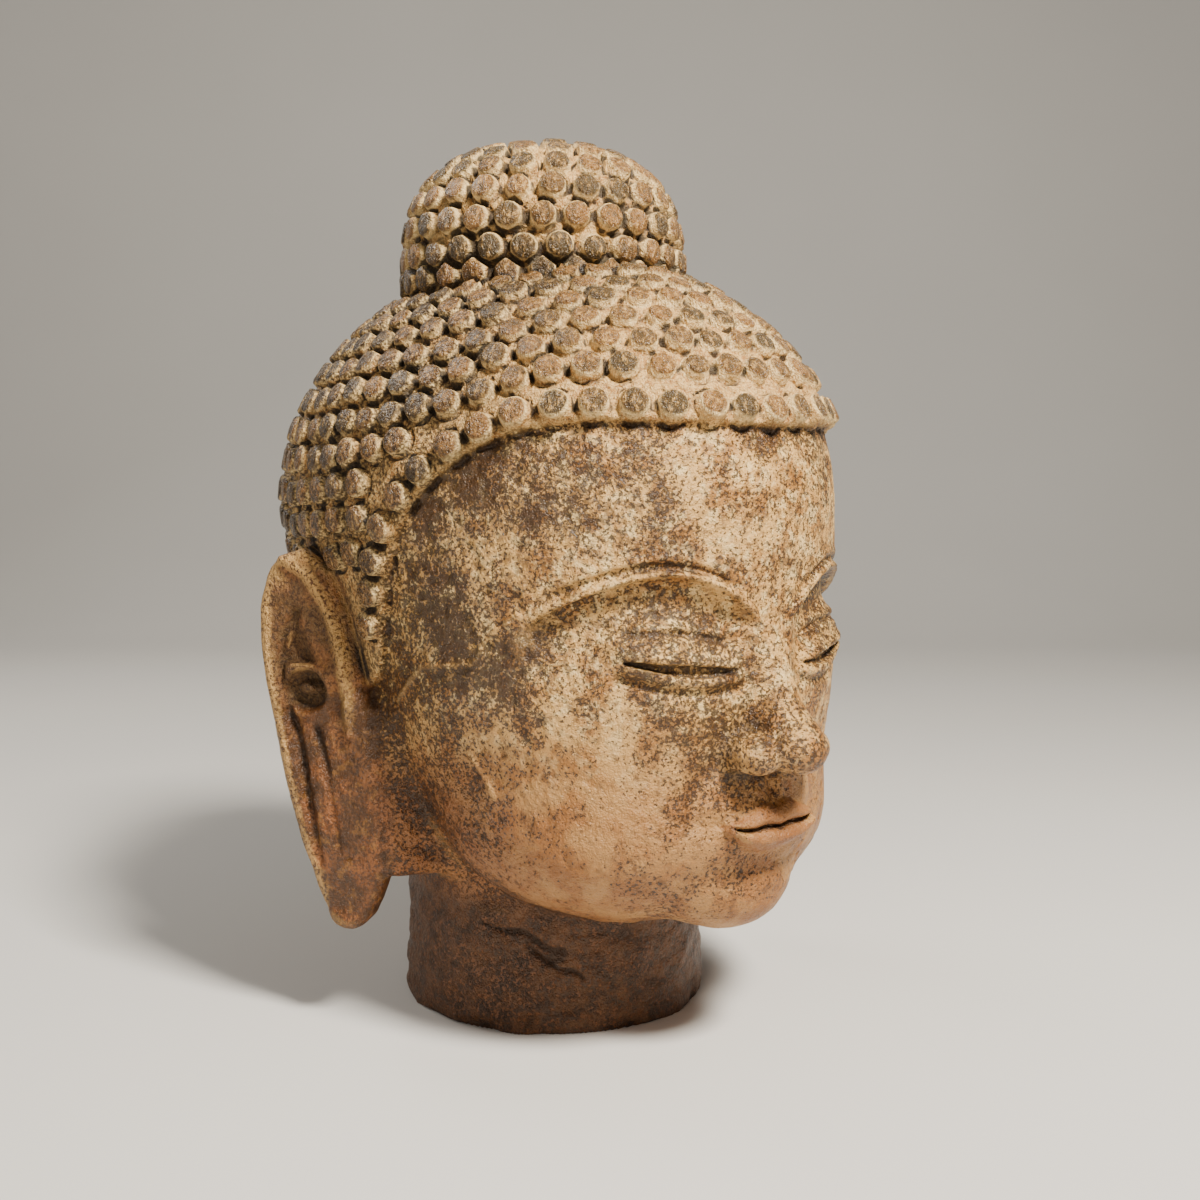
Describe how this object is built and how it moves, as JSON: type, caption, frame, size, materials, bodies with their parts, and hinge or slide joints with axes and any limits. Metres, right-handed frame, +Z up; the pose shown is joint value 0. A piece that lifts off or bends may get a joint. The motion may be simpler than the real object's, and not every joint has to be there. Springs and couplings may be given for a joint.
{
  "type": "stone buddha head",
  "caption": "Carved stone head with a cap of small raised curls, a drum-shaped crown, long ears, a calm face and a short neck cut flat to stand on.",
  "frame": {"origin": "centre of the neck's flat underside", "axes": "+Z up through the crown, -Y the way the face looks, +X towards the head's own left ear"},
  "size_m": [0.2684, 0.3073, 0.3964],
  "materials": {
    "stone": "matt worn stone with brown and ochre patina"
  },
  "bodies": {
    "root": {"buddha_head": "stone"}
  },
  "joints": []
}
